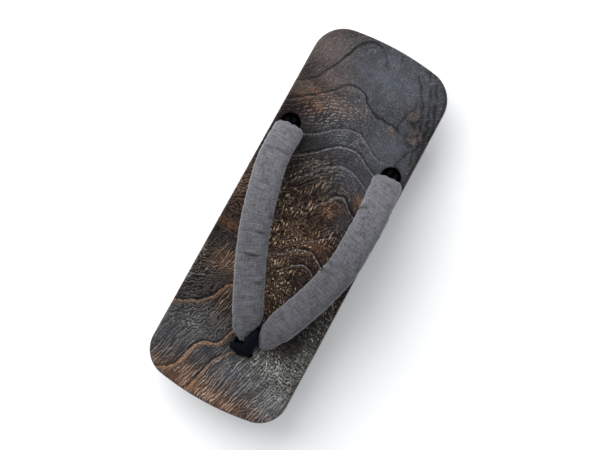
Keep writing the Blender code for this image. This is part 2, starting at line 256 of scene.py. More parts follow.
block = {
    "toeWidth": 99.7 * mm,
    "heelWidth": 96.1 * mm,
    "endRadius": 190 * mm,
    "toeCorner": 20 * mm,
    "heelCorner": 21.5 * mm,
    "height": 46 * mm,
    "dish": 2 * mm,
    "deckThickness": 18 * mm,
    "tipThickness": 13 * mm,
    "tooth": 19 * mm,
    "taper": 1 * mm,
    "frontTooth": 58 * mm,  # from the toe end
    "rearTooth": 43 * mm,  # from the heel end
    "fillet": 5 * mm,
    "footRound": 1.5 * mm,
    "topRound": 2.2 * mm,
    "lowerEdge": 1.2 * mm,
    "holeRadius": 6.7 * mm,
    "holeRim": 1.0 * mm,
    "toeHole": (5.7 * mm, 44.7 * mm),  # to the inner side, from the toe end
    "rearHoles": (-37.7 * mm, 37.5 * mm, 76.3 * mm),  # outer side, inner side, from the heel end
    "rowStep": 0.72 * mm,
    "columns": 136,
    "endSteps": 14,
    "cornerSteps": 34,
    # Shares of the height at which the sides are cut
    "slices": (0.04, 0.09, 0.17, 0.27, 0.38, 0.49, 0.58, 0.65, 0.71, 0.77, 0.83, 0.89),
}
lowCorner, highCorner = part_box("wooden_base")
halfLength = (highCorner.y - lowCorner.y) / 2
halfWidth = (block["toeWidth"] + block["heelWidth"]) / 4
sideSlope = (block["heelWidth"] - block["toeWidth"]) / (4 * halfLength)
underside = block["height"] - block["deckThickness"]
toeHole = Vector((block["toeHole"][0], block["toeHole"][1] - halfLength))
outerHole = Vector((block["rearHoles"][0], halfLength - block["rearHoles"][2]))
innerHole = Vector((block["rearHoles"][1], halfLength - block["rearHoles"][2]))


def deckTop(y):
    return block["height"] - block["dish"] * (1 - (y / halfLength) ** 2)


def cornerArc(end, radius):
    endCentre = Vector((0.0, end * (halfLength - block["endRadius"])))
    along = Vector((sideSlope, 1.0))
    inward = Vector((-1.0, sideSlope)).normalized()
    start = Vector((halfWidth, 0.0)) + radius * inward - endCentre
    a = along.dot(along)
    b = start.dot(along)
    c = start.dot(start) - (block["endRadius"] - radius) ** 2
    return endCentre + start + (-b + end * sqrt(b * b - a * c)) / a * along, endCentre, inward


def arcPoints(centre, radius, start, stop, steps):
    angles = [start + (stop - start) * i / steps for i in range(steps + 1)]
    outwards = [Vector((cos(angle), sin(angle))) for angle in angles]
    return [(centre + radius * outward, outward) for outward in outwards]


def toothProfile(front, back):
    fillet, shape = block["fillet"], block["footRound"]
    made = [(front - fillet * s, underside - fillet * c) for s, c in quarterTurn(5)]
    made += [(front + block["taper"] + shape * c, shape * s) for s, c in quarterTurn(4)]
    return made + [(front + back - y, z) for y, z in reversed(made)]


def undersideProfile():
    front = block["frontTooth"] - halfLength
    rear = halfLength - block["rearTooth"]
    tip = block["height"] - block["tipThickness"]
    made = [(-halfLength, tip)]
    made += toothProfile(front, front + block["tooth"])
    made += toothProfile(rear - block["tooth"], rear)
    return made + [(halfLength, tip)]


blockProfile = undersideProfile()


def heightBelow(y):
    for (y0, z0), (y1, z1) in zip(blockProfile, blockProfile[1:]):
        if y <= y1:
            return z0 + (z1 - z0) * max(0.0, y - y0) / (y1 - y0)
    return blockProfile[-1][1]


def endArcs(end, radius):
    # The bowed end and its round corner, from the middle of the end to the side
    corner, centre, inward = cornerArc(end, radius)
    turn = atan2(corner.y - centre.y, corner.x - centre.x)
    made = arcPoints(centre, block["endRadius"], end * pi / 2, turn, block["endSteps"])[:-1]
    side = atan2(-inward.y, -inward.x)
    return made + arcPoints(corner, radius, turn, side, block["cornerSteps"]), inward


def outlineStations():
    made, inward = endArcs(-1, block["toeCorner"])
    heel = endArcs(1, block["heelCorner"])[0][::-1]
    low, high = made[-1][0].y, heel[0][0].y
    stops = [low] + [y for y, _ in blockProfile if low < y < high] + [high]
    for y0, y1 in zip(stops, stops[1:]):
        parts = max(1, ceil((y1 - y0) / block["rowStep"]))
        for i in range(1, parts + 1):
            y = y0 + (y1 - y0) * i / parts
            if y < high:
                made.append((Vector((halfWidth + sideSlope * y, y)), -inward))
    return made + heel


def sectionRing(point, outward):
    low = point - block["lowerEdge"] * outward
    bottom = heightBelow(low.y)
    chain = [(low.x * share, low.y, bottom) for share in (0.34, 0.67, 1.0)]
    lowWall = heightBelow(point.y) + block["lowerEdge"]
    highWall = deckTop(point.y) - block["topRound"]
    chain += [(point.x, point.y, lowWall + (highWall - lowWall) * share) for share in (0.0, 0.25, 0.5, 0.75)]
    for s, c in quarterTurn(5):
        inner = point - block["topRound"] * c * outward
        chain.append((inner.x, inner.y, deckTop(inner.y) - block["topRound"] * s))
    shares = [1 - 2 * i / block["columns"] for i in range(1, block["columns"])]
    top = [(inner.x * share, inner.y, deckTop(inner.y)) for share in shares]
    left = [(-x, y, z) for x, y, z in reversed(chain)]
    return chain + top + left + [(0.0, low.y, bottom)]


def holeCutter(hole):
    top, bottom = deckTop(hole.y), heightBelow(hole.y)
    rim, radius = block["holeRim"], block["holeRadius"]
    outline = [(0.0, top + 2 * rim), (radius + rim, top + 2 * rim)]
    outline += [(radius + rim * s, top - rim * c) for s, c in quarterTurn(5)]
    outline += [(radius + rim * c, bottom + rim * s) for s, c in quarterTurn(5)]
    outline += [(radius + rim, bottom - 2 * rim), (0.0, bottom - 2 * rim)]
    mesh = bpy.data.meshes.new("holeCutter")
    mesh.from_pydata([(r, 0.0, z) for r, z in outline], [(i, i + 1) for i in range(len(outline) - 1)], [])
    obj = newObject("holeCutter", mesh)
    obj.location = (hole.x, hole.y, 0.0)
    screw = obj.modifiers.new("turn", "SCREW")
    screw.steps = screw.render_steps = 72
    screw.use_merge_vertices = True
    screw.merge_threshold = 1e-6
    return obj


def carveBlock(material):
    mesh = meshFromRings("woodBlock", np.array([sectionRing(*station) for station in outlineStations()]))
    faceOutward(mesh)
    obj = newObject("woodBlock", mesh, material)
    cutters = [holeCutter(hole) for hole in (toeHole, outerHole, innerHole)]
    for cutter in cutters:
        cut = obj.modifiers.new("hole", "BOOLEAN")
        cut.operation = "DIFFERENCE"
        cut.solver = "EXACT"
        cut.object = cutter
    bpy.context.view_layer.update()
    obj.data = bpy.data.meshes.new_from_object(obj.evaluated_get(bpy.context.evaluated_depsgraph_get()))
    obj.modifiers.clear()
    for cutter in cutters:
        bpy.data.objects.remove(cutter, do_unlink=True)
    return obj


# Figure of the wood: growth lines, in hundredths of the half width and the half length

figure = {
    1: ((-96, 63), (-79, 67), (-66, 75), (-57, 81), (-49, 90), (-40, 95), (-23, 98), (-1, 91), (20, 85),
        (45, 81), (70, 86), (95, 95)),
    2: ((-94, 53), (-76, 58), (-62, 62), (-49, 66), (-35, 72), (-22, 73), (-8, 72), (4, 68), (14, 66),
        (32, 65), (53, 65), (75, 62), (95, 66)),
    3: ((-95, 36), (-70, 39), (-45, 43), (-28, 48), (-8, 53), (12, 54), (29, 51), (42, 48), (65, 47),
        (95, 48)),
    4: ((-95, 22), (-70, 26), (-47, 31), (-32, 35), (-12, 42), (5, 45), (26, 45), (46, 41), (70, 38),
        (95, 37)),
    5: ((-95, 10), (-50, 16), (-30, 22), (-12, 30), (2, 34), (19, 36), (40, 34.5), (60, 30), (95, 24)),
    6: ((-95, 0), (-45, 3), (-15, 7), (5, 12), (15, 17), (22, 21), (36, 22), (56, 17), (95, 10)),
    7: ((-95, -10), (-45, -9), (-10, -7), (15, -6), (32, -2), (46, 3), (62, 3), (95, -2)),
    8: ((-98, -19), (-72, -19), (-40, -20), (-15, -19), (2, -15), (12, -11), (29, -9), (46, -12), (65, -15),
        (95, -13)),
    9: ((-95, -30), (-50, -30), (0, -26), (12, -21), (22, -18), (34, -16.5), (49, -19), (70, -24),
        (95, -25)),
    10: ((-95, -44), (-60, -38), (-20, -34), (10, -32), (30, -30), (50, -32), (95, -36)),
    11: ((-98, -62), (-82, -59), (-66, -55), (-54, -49), (-44, -42), (-15, -40), (10, -42), (50, -44),
        (95, -46)),
    12: ((-86, -97), (-72, -94), (-62, -91), (-52, -84), (-47, -77), (-35, -73), (-22, -71), (-12, -62),
        (10, -55), (50, -56), (95, -58)),
    13: ((-32, -99), (-24, -91), (-20, -83), (-12, -77), (0, -72), (25, -67), (60, -68), (95, -70)),
    14: ((6, -100), (12, -90), (28, -82), (60, -80), (95, -82)),
    15: ((50, -97), (70, -92), (95, -92)),
}
# How far each line from 0 on shows as a dark groove (its own dark with painted shade in the trough), a warm
# band
# # and a pale edge (a painted highlight on the lit bank), and from where to where across, in hundredths
lineLooks = (
    (20, 0, 0, -100, 100), (100, 30, 0, -100, 2), (100, 30, 20, -100, 60), (60, 0, 50, -55, 55),
    (70, 0, 70, -60, 60), (50, 0, 70, -30, 65), (100, 20, 100, 5, 68), (90, 20, 80, 22, 70),
    (100, 0, 100, -100, 62), (100, 10, 100, 5, 60), (70, 0, 50, 0, 55), (100, 100, 0, -100, -30),
    (100, 100, 0, -92, -2), (100, 90, 0, -40, 5), (30, 30, 0, 0, 60), (20, 0, 0, 30, 100),
    (0, 0, 0, -100, 100),
)
# About how far apart the lines lie in millimetres, so that the fine rows between them keep one pitch
lineSteps = (24, 25, 24, 14, 12, 13, 13, 12, 12, 16, 20, 30, 18, 16, 16, 16)

# Soft patches on the deck, in hundredths: across, along, half size across, half size along, strength
patches = {
    # These patches paint a blue-grey sheen, a reflection of the sky on the waxed deck
    "paintedSheen": ((20, 86, 85, 22, 100), (55, 55, 50, 20, 85), (40, 36, 40, 14, 60), (-55, 86, 35, 10, 50),
        (0, 66, 40, 8, 60), (-60, -72, 45, 14, 35), (5, 50, 50, 14, 60), (-30, -80, 50, 5, 35),
        (80, -86, 30, 10, 55), (20, -81, 60, 10, 50), (-85, -76, 30, 14, 40), (50, 10, 14, 6, 40)),
    "warm": ((-85, 95, 30, 6, 50), (-55, 64, 45, 6, 50), (-72, 55, 26, 8, 70), (30, 13, 18, 7, 90),
        (5, -5, 55, 28, 75), (55, 24, 8, 4, 60), (-95, -17, 34, 4, 100), (-90, 4, 30, 20, 80),
        (-65, -34, 30, 8, 70), (5, -38, 35, 14, 70), (-40, -50, 20, 10, 50), (60, -95, 50, 8, 60),
        (-30, -93, 60, 10, 45)),
    "heat": ((-66, 56, 26, 6, 80), (-95, 63, 25, 5, 40), (-95, -18, 34, 5, 100), (-55, -80, 75, 28, 100),
        (-45, -48, 30, 14, 100), (-20, -95, 90, 12, 100), (24, 15, 14, 5, 80), (-92, 6, 25, 16, 15)),
    "fleck": ((5, -2, 50, 20, 100), (5, -32, 34, 16, 100), (32, 13, 17, 7, 90), (85, -42, 14, 16, 80),
        (-30, 20, 15, 8, 50), (-41, -91.5, 10, 2.5, 80), (50, -68, 26, 6, 90)),
    "glint": ((50, -71, 34, 9, 100), (92, -52, 14, 20, 90), (80, -80, 30, 12, 50)),
    "streak": ((-10, -92, 120, 20, 100), (-42, -52, 30, 11, 78), (-70, -31, 30, 8, 72),
        (45, -72, 30, 10, 60)),
    "dash": ((-20, 58, 50, 13, 100), (20, 50, 30, 10, 90), (0, 30, 36, 11, 80), (-70, 90, 50, 16, 30),
        (0, 78, 80, 12, 20), (40, 90, 60, 14, 20), (-80, 10, 40, 20, 45)),
    "maze": ((-85, -42, 40, 14, 100), (-70, -66, 40, 12, 85), (-90, 2, 25, 16, 40), (75, -76, 40, 18, 70),
        (24, 15, 13, 5, 100), (-25, 27, 25, 8, 60), (-5, -18, 40, 28, 40), (-20, -60, 20, 10, 60)),
    "dust": ((-78, 84, 34, 10, 100), (-50, 72, 34, 6, 90), (-85, 62, 20, 5, 70), (-30, 61, 30, 5, 80),
        (-20, -90, 60, 8, 25)),
    "ember": ((-90, -16, 30, 2.4, 100), (25, 14, 11, 3.5, 60), (-54, 56.2, 7, 2, 70),
        (-88, 57.8, 14, 1.4, 60), (-68, 62.2, 14, 1.2, 60), (47, 62.5, 5, 1.4, 70), (-41, -91, 12, 3, 70),
        (-30, -96.5, 55, 3.6, 100), (0, -95.5, 14, 3, 80), (-80, -94, 16, 3, 90), (30, -97, 18, 3, 70),
        (55, 23.5, 8, 3, 60), (-72, -33, 18, 4, 25), (-38, -43, 12, 5, 50), (36, -6, 15, 4, 60)),
    "clear": ((0, 55, 130, 55, 100), (-75, -65, 75, 35, 100), (-20, -85, 35, 20, 100), (30, -10, 50, 20, 90),
        (-45, 85, 50, 25, 100)),
    "shade": ((-90, -12, 30, 40, 50), (-50, -49, 40, 10, 60), (72, -45, 22, 14, 60), (0, 15, 50, 10, 20)),
}
# Grooves beside the growth lines, along the heel's inner corner and past the small knots, in hundredths
grooves = (
    ((57, 97), (72, 87), (88, 73), (95.5, 60), (96, 48)),
    ((66, 97), (80, 88), (93, 76), (97.5, 66)),
    ((46, 93), (62, 85), (77, 75), (87, 62), (90, 52)),
    ((55, 63.5), (53, 68), (55, 73), (60, 80)),
    ((90, 62), (80, 56), (76, 50), (80, 42)),
)
dimples = ((0.64, 0.755, 3.0 * mm), (0.79, 0.655, 3.3 * mm))  # two small knots in the wood, and their radii


def growthField():
    rows = np.array([(u / 100, v / 100 * halfLength / halfWidth, number)
                     for number, line in figure.items() for u, v in line])
    places, level = rows[:, :2], rows[:, 2]
    softness = 0.10
    apart = np.sqrt(((places[:, None] - places[None]) ** 2).sum(2) + softness**2)
    count = len(places)
    system = np.zeros((count + 3, count + 3))
    system[:count, :count] = apart + np.eye(count) * -0.004
    system[:count, count] = system[count, :count] = 1.0
    system[:count, count + 1:] = places
    system[count + 1:, :count] = places.T
    answer = np.linalg.solve(system, np.concatenate((level, (0.0, 0.0, 0.0))))

    def field(x, y):
        p, q = x / halfWidth, y / halfWidth
        total = answer[count] + answer[count + 1] * p + answer[count + 2] * q
        for (u, v), weight in zip(places, answer[:count]):
            total = total + weight * np.sqrt((p - u) ** 2 + (q - v) ** 2 + softness**2)
        return total

    return field


growth = growthField()


def patchValue(name, x, y):
    u, v = x / halfWidth, y / halfLength
    total = np.zeros_like(u)
    for pu, pv, su, sv, strength in np.array(patches[name]) / 100:
        total = np.maximum(total, strength * bell(np.hypot((u - pu) / su, (v - pv) / sv), 1.0))
    return total


def grooveDistance(x, y):
    nearest = np.full_like(x, 1.0)
    for line in grooves:
        stops = [np.array((u / 100 * halfWidth, v / 100 * halfLength)) for u, v in line]
        for one, two in zip(stops, stops[1:]):
            way = two - one
            share = np.clip(((x - one[0]) * way[0] + (y - one[1]) * way[1]) / way.dot(way), 0.0, 1.0)
            away = np.hypot(x - one[0] - share * way[0], y - one[1] - share * way[1])
            nearest = np.minimum(nearest, away)
    return nearest


def dressBlock(obj):
    mesh = obj.data
    bm = bmesh.new()
    bm.from_mesh(mesh)
    for share in block["slices"]:
        bmesh.ops.bisect_plane(bm, geom=bm.verts[:] + bm.edges[:] + bm.faces[:], dist=1e-6,
                               plane_co=(0.0, 0.0, share * block["height"]), plane_no=(0.0, 0.0, 1.0))
    bm.to_mesh(mesh)
    bm.free()
    points = meshPoints(mesh)
    x, y, z = points.T
    ring = growth(x, y)
    step = 0.5 * mm
    pace = np.hypot(growth(x + step, y) - ring, growth(x, y + step) - ring) / step + 4.0
    depth = deckTop(y) - z
    reach = np.concatenate(((24,) * 4, lineSteps, (16,) * 6)) * mm
    rowWay = np.interp(ring, np.arange(-4, len(reach) - 3), np.concatenate(((0.0,), np.cumsum(reach))))
    wavy = ring + hills(x, y, 16, 3) * 0.03 + hills(x, y, 5, 4) * 0.014
    nearest = np.clip(np.round(wavy), 0, len(lineLooks) - 1)
    distance = (wavy - np.round(wavy)) / pace
    clear = patchValue("clear", x, y)
    looks = [np.interp(nearest, range(len(lineLooks)), column) for column in np.array(lineLooks).T / 100]
    u = x / halfWidth
    clear = clear * smoothStep(-0.10, 0.05, u - looks[3]) * smoothStep(-0.10, 0.05, looks[4] - u)
    line = looks[0] * clear
    relief = line * mm * (0.16 * bell(distance - 1.8 * mm, 1.2 * mm) - 0.36 * bell(distance, 0.7 * mm))
    ripple = np.sin(tau * wavy * 9 + hills(x, y, 5, 6) * 2.2) * (0.6 + 0.4 * hills(x, y, 9, 7))
    relief += mm * (0.022 * ripple + 0.05 * hills(x, y, 5, 8) + 0.07 * hills(x, y, 20, 9))
    away = grooveDistance(x + hills(x, y, 9, 41) * 0.6 * mm, y + hills(x, y, 9, 42) * 0.6 * mm)
    # The grooves are cut 0.3 mm deep, and the same mask paints shade into them
    grooveAndShade = bell(away, 0.8 * mm) * np.clip(1.0 + 0.5 * hills(x, y, 12, 43), 0.0, 1.0)
    relief -= 0.30 * mm * grooveAndShade
    burr = np.zeros_like(x)
    for dimpleAcross, dimpleAlong, radius in dimples:
        away = np.hypot(x - dimpleAcross * halfWidth, (y - dimpleAlong * halfLength) * 0.8) / radius
        away += 0.25 * hills(x, y, 4, 31)
        burr = np.maximum(burr, smoothStep(1.9, 0.5, away) * (1 - 0.7 * smoothStep(0.6, 0.2, away)))
        relief += mm * (0.45 * bell(away - 1.15, 0.35) - 0.8 * bell(away, 0.65))
        # a ring of painted shade just outside each knot
        grooveAndShade = np.maximum(grooveAndShade, 0.9 * bell(away - 1.75, 0.22))
    fromHole = np.min([np.hypot(x - hole.x, y - hole.y) for hole in (toeHole, outerHole, innerHole)], axis=0)
    rim = block["holeRadius"] + block["holeRim"]
    keep = smoothStep(rim, rim + 1.5 * mm, fromHole) * (depth < 0.02 * mm)
    points[:, 2] += relief * keep
    mesh.vertices.foreach_set("co", points.ravel())
    mesh.update()
    onTop = smoothStep(4 * mm, 0.5 * mm, depth)
    # The holes' walls, which get painted shade
    bore = smoothStep(rim + 0.6 * mm, rim - 0.2 * mm, fromHole) * smoothStep(0.1 * mm, 0.6 * mm, depth)
    normals = np.empty(len(points) * 3)
    mesh.vertex_normals.foreach_get("vector", normals)
    down = smoothStep(0.35, 0.8, -normals.reshape(-1, 3)[:, 2])
    edge = smoothStep(0.3 * mm, 1.2 * mm, depth) * smoothStep(3.0 * mm, 2.0 * mm, depth)
    painted = {name: patchValue(name, x, y) * onTop for name in patches if name != "clear"}
    painted["maze"] = painted["maze"] * (1 - 0.85 * patchValue("streak", x, y))
    painted.update({
        "ring": ring + depth * 22.0,
        "rowWay": rowWay + depth * 0.35,
        "pace": pace * mm,
        "lineDarkAndShade": line * onTop,
        "lineHeat": looks[1] * painted["heat"],
        "lineHighlight": looks[2] * clear * onTop,
        # painted shade in the grooves, around the knots and down the holes
        "grooveAndShade": np.maximum(grooveAndShade * onTop, bore * (z > underside)),
        "burr": burr * onTop,
        # painted shade on the side walls, less on faces turned down
        "wallShade": smoothStep(2 * mm, 4 * mm, depth) * (1 - 0.6 * down),
        "under": smoothStep(5 * mm, 9 * mm, depth) * (1 - bore),
        "foot": smoothStep(5 * mm, 0.2 * mm, z),
        "edge": edge * (1 - bore),
    })
    for name, values in painted.items():
        storeValues(mesh, name, values)
    mesh.set_sharp_from_angle(angle=radians(40))


wood = {
    "char": (0.0036, 0.0033, 0.0034),
    "brown": (0.013, 0.0075, 0.0056),
    "rust": (0.036, 0.015, 0.0095),
    "ash": (0.215, 0.198, 0.184),
    "tan": (0.450, 0.275, 0.175),
    "orange": (0.820, 0.470, 0.245),
    "heart": (0.285, 0.150, 0.076),
    "worn": (0.200, 0.140, 0.095),
    "dust": (0.092, 0.070, 0.064),
    "ember": (0.180, 0.084, 0.046),
    "burr": (0.100, 0.062, 0.045),
    # blue-grey colour of the painted sheen
    "sheenSlate": (0.047, 0.054, 0.068),
    # painted highlight grey, for the sheen on the raised marks and the lit banks of the growth lines
    "highlightGrey": (0.185, 0.187, 0.205),
    "gold": (0.66, 0.46, 0.29),
    # the colour of the painted glints
    "pale": (0.86, 0.88, 0.78),
    "roughness": 0.40,
    "gloss": 0.03,
    "coat": 0.02,
    "rowPitch": 1.7 * mm,
    "strandPitch": 1.9 * mm,
    "strandTurn": radians(14),  # the toe's strands lie this far off the block's length
    "mazePitch": 2.4 * mm,
    "coatRoughness": 0.22,
}


def wavyLines(along, pitch, bend, low, high):
    # Raised lines a pitch apart; what bends them is a noise times a number
    return ramp(wave(calc("ADD", times(along, tau / pitch), bend)), low, high)


def woodPatterns(place, wobble):
    # Marks that run along the growth lines, along the block, in a maze and as short commas
    parts = axes(place)
    rowsAlong = timesPlus(wobble, 3 * mm, stored("rowWay"))
    rowSpace = addNode("ShaderNodeCombineXYZ", {"X": parts[0], "Y": rowsAlong, "Z": parts[2]}).outputs[0]
    crimp = times(noiseAt(place, 330.0, 2.0, 0.5), 9.0)
    rowLine = wavyLines(rowsAlong, wood["rowPitch"], crimp, 0.42, 0.82)
    broken = ramp(noiseAt(rowSpace, 620.0, 1.0, 0.5, stretch=(1.0, 0.6)), 0.42, 0.52)
    dash = times(rowLine, broken)
    parts = axes(turned(place, wood["strandTurn"]))
    across = timesPlus(parts[2], 1.3, parts[0])
    meander = times(noiseAt(place, 130.0, 3.0, 0.55, stretch=(1.0, 0.35)), 26.0)
    strand = wavyLines(across, wood["strandPitch"], meander, 0.44, 0.82)
    split = noiseAt(place, 420.0, 1.0, 0.5, stretch=(1.0, 0.22), turn=wood["strandTurn"])
    strand = times(strand, ramp(split, 0.40, 0.52, 0.15, 1.15))
    folds = times(noiseAt(place, 210.0, 2.0, 0.45), tau * 4)
    maze = wavyLines(rowsAlong, wood["mazePitch"], folds, 0.48, 0.88)
    comma = ramp(noiseAt(rowSpace, 1000.0, 1.0, 0.5, stretch=(1.0, 0.40), turn=0.3), 0.57, 0.64)
    rows = ramp(noiseAt(rowSpace, 240.0, 1.0, 0.5, stretch=(0.4, 1.0)), 0.44, 0.56, 0.05)
    return dash, strand, maze, times(comma, rows)


def tinted(body, tints):
    for color, share in tints:
        body = blendColors(share, body, wood[color])
    return body


def burntWood():
    material, shader = newMaterial("burntWood")
    place = objectPlace()
    wobble = noiseAt(place, 150.0, 3.0)
    fine = noiseAt(place, 1100.0, 4.0, 0.62)
    patchy = ramp(noiseAt(place, 75.0, 3.0), 0.35, 0.65, 0.35)
    ringWavy = timesPlus(calc("SUBTRACT", wobble, 0.5), 0.18, stored("ring"))
    off = calc("SUBTRACT", ringWavy, calc("ROUND", ringWavy))
    distance = calc("DIVIDE", off, stored("pace"))  # millimetres past a growth line
    spot = timesPlus(distance, 1 / 16, 0.5)
    # The growth line's own dark, with painted shade in its trough
    dark = times(curve(spot, ((0.41, 0.0), (0.47, 1.0), (0.51, 1.0), (0.54, 0.0))), stored("lineDarkAndShade"))
    band = times(curve(spot, ((0.51, 0.0), (0.54, 1.0), (0.585, 0.65), (0.68, 0.0))), stored("lineHeat"))
    # A painted highlight on the lit bank beside the line
    edgeHighlight = times(curve(spot, ((0.52, 0.0), (0.55, 1.0), (0.57, 0.9), (0.60, 0.0))), stored("lineHighlight"))
    ripple = wave(timesPlus(ringWavy, tau * 9, times(fine, 11.0)))
    dash, strand, maze, comma = woodPatterns(place, wobble)
    names = ("warm", "heat", "paintedSheen", "glint", "under", "foot", "shade")
    warm, heat, paintedSheen, glint, under, foot, shade = map(stored, names)
    marks = times(times(dash, ripple), 0.38)
    for pattern, amount in ((dash, stored("dash")), (strand, stored("streak")), (maze, stored("maze")),
                            (strand, times(under, 0.40))):
        marks = calc("MAXIMUM", marks, times(pattern, amount))
    marks = times(marks, patchy)
    flecks = times(comma, stored("fleck"))
    body = blendColors(times(ripple, 0.7), wood["char"], wood["brown"])
    body = tinted(body, (
        ("rust", times(warm, times(ripple, 0.9))),
        # painted sheen over the body
        ("sheenSlate", times(paintedSheen, ramp(wobble, 0.42, 0.58, 0.62, 0.97))),
        ("dust", times(stored("dust"), 0.75)),
        ("ember", times(stored("ember"), times(patchy, 0.8))),
        ("char", shade),
    ))
    high = tinted(blendColors(warm, wood["ash"], wood["tan"]), (
        ("orange", times(heat, ramp(wobble, 0.42, 0.60, 0.35))),
        # painted sheen on the raised marks
        ("highlightGrey", times(paintedSheen, 0.6)),
        ("pale", times(glint, ramp(fine, 0.38, 0.56, 0.4))),
    ))
    body = tinted(blendColors(times(marks, 0.92), body, high), (
        ("heart", times(band, ramp(fine, 0.38, 0.6, 0.45, 0.9))),
        # painted highlight on the lines' lit banks
        ("highlightGrey", times(edgeHighlight, ramp(fine, 0.36, 0.6, 0.25, 0.9))),
    ))
    # The flecks' gold, turned into a painted glint where the glint patches lie
    spark = blendColors(glint, wood["gold"], wood["pale"])
    scuff = ramp(noiseAt(place, 260.0, 4.0, 0.65), 0.42, 0.62)
    body = tinted(blendColors(times(flecks, 0.9), body, spark), (
        ("burr", times(stored("burr"), times(patchy, 0.6))),
        # painted shade in the grooves, around the knots and down the holes
        ("char", times(stored("grooveAndShade"), 0.95)),
        # the growth lines' dark, partly painted shade
        ("char", times(dark, 0.9)),
        ("tan", times(stored("edge"), 0.1)),
        # painted shade on the side walls
        ("char", times(stored("wallShade"), 0.7)),
        ("rust", times(under, times(patchy, 0.35))),
        ("worn", times(foot, timesPlus(scuff, 0.5, 0.25))),
    ))
    grit = times(timesPlus(ramp(fine, 0.36, 0.64), 1.05, 0.45), timesPlus(shade, -0.5, 1.0))
    height = times(ripple, 0.07)
    for mark, lift in ((dark, -0.22), (marks, 0.35), (flecks, 0.30), (fine, 0.22)):
        height = timesPlus(mark, lift, height)
    bump = surface(shader, height, 1.0, 1.0, {
        "Base Color": scaled(body, grit), "Roughness": timesPlus(fine, 0.30, wood["roughness"] - 0.15),
        "Specular IOR Level": timesPlus(calc("ADD", paintedSheen, glint), 0.25, wood["gloss"]),
        "Coat Weight": wood["coat"], "Coat Roughness": wood["coatRoughness"]})
    feed(shader.inputs["Coat Normal"], bump)
    return material


woodBlock = carveBlock(burntWood())
dressBlock(woodBlock)
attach(woodBlock, "root")
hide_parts("wooden_base")
print("block carved:", len(woodBlock.data.polygons), "faces")


# Stuffed cotton thong

thong = {
    "width": 20.6 * mm,
    "thickness": 12.5 * mm,
    "rise": 30 * mm,
    "outerBow": 10.6 * mm,
    "innerBow": 15.0 * mm,
    "seat": 7 * mm,
    "fit": 0.5 * mm,
    "neckSide": 9.4 * mm,
    "neckFromToe": 50.6 * mm,
    "neckHeight": 13.5 * mm,
    "neckDepth": 7.4 * mm,
    "neckThickness": 7.5 * mm,
    "neckSpan": 15 * mm,
    "around": 84,
    "spanSteps": 18,
    "headingReach": 54,
    "fullness": 2.5,
}
# Sections from the rear hole to the front end, in hundredths: run, bow, rise, width, thickness
outerArm = (
    (1.4, 2, 23, 90, 74), (4.2, 12, 43, 99, 90), (10.5, 42, 68, 98, 97), (20, 72, 87, 100, 100),
    (34, 90, 99, 100, 100), (48.5, 100, 100, 100, 100), (61, 94, 97, 100, 100), (71, 83, 92, 100, 100),
    (81, 68, 82, 100, 100), (86, 60, 75, 100, 98), (89.6, 57, 69, 97, 94), (93, 65, 61, 81, 86),
    (95.3, 70, 55, 66, 78), (98.1, 67, 48, 42, 66), (100.3, 64, 44, 18, 48),
)
innerArm = (
    (1.4, 6, 23, 92, 74), (4.2, 15, 43, 100, 90), (10.5, 30, 68, 99, 97), (20, 56, 87, 100, 100),
    (34, 81, 99, 100, 100), (47.7, 100, 100, 100, 100), (60.5, 95, 97, 100, 100), (70, 85, 92, 100, 100),
    (78.5, 72, 84, 100, 100), (85, 61, 76, 100, 98), (88.5, 55, 70, 94, 95), (91.5, 51, 65, 84, 90),
    (94.5, 51, 58, 69, 82), (97.6, 51, 50, 50, 70), (100, 51, 45, 26, 52),
)
# Creases across the arms: share of the way, angle around in degrees, half spread, depth and half width in mm
outerCreases = (
    (0.568, 112, 22, 1.0, 0.7),
    (0.652, 96, 25, 1.1, 0.7),
    (0.500, 160, 30, 0.5, 0.9),
    (0.760, 120, 24, 0.4, 0.8),
    (0.235, 95, 50, 0.35, 0.9),
)
innerCreases = (
    (0.585, 8, 42, 1.8, 1.1),
    (0.54, 30, 35, 0.5, 1.0),
    (0.275, 20, 45, 0.7, 0.9),
    (0.83, 40, 40, 0.25, 0.9),
    (0.90, 120, 40, 0.25, 0.8),
)
cloth = {
    "light": (0.138, 0.137, 0.151),
    "dark": (0.045, 0.044, 0.049),
    "pale": (0.250, 0.250, 0.265),
    # the colour of painted shade in the creases
    "creaseShade": (0.016, 0.016, 0.018),
    "rib": 1.35 * mm,  # one rib across the arm
    "thread": 0.9 * mm,
    "girth": 56 * mm,
    "hems": (0.062, 0.438),  # where a pale thread runs along the arm, as shares of the way around
}
neck = Vector((thong["neckSide"], thong["neckFromToe"] - halfLength))
plugRadius = block["holeRadius"] - thong["fit"]
seatSize = (1.4 * plugRadius, 0.84 * plugRadius)


def smoothRows(rows, steps):
    pace = [0.0]
    for one, two in zip(rows, rows[1:]):
        pace.append(pace[-1] + sqrt(dist(one[:3], two[:3])))
    rows = np.array(rows)
    slopes = []
    for i in range(len(rows)):
        low, high = max(0, i - 1), min(len(rows) - 1, i + 1)
        slopes.append((rows[high] - rows[low]) / (pace[high] - pace[low]))
    made = []
    for i in range(len(rows) - 1):
        width = pace[i + 1] - pace[i]
        for t in np.arange(steps) / steps:
            keep = 2 * t**3 - 3 * t**2 + 1
            bend = (t**3 - 2 * t**2 + t) * slopes[i] + (t**3 - t**2) * slopes[i + 1]
            made.append(keep * rows[i] + (1 - keep) * rows[i + 1] + width * bend)
    return np.array(made + [rows[-1]])


def levelSide(along):
    return np.array((along[1], -along[0], 0.0))


def unit(vector):
    return vector / np.linalg.norm(vector)


def wayAlong(rows):
    steps = [dist(one[:3], two[:3]) for one, two in zip(rows, rows[1:])]
    return np.concatenate(((0.0,), np.cumsum(steps)))


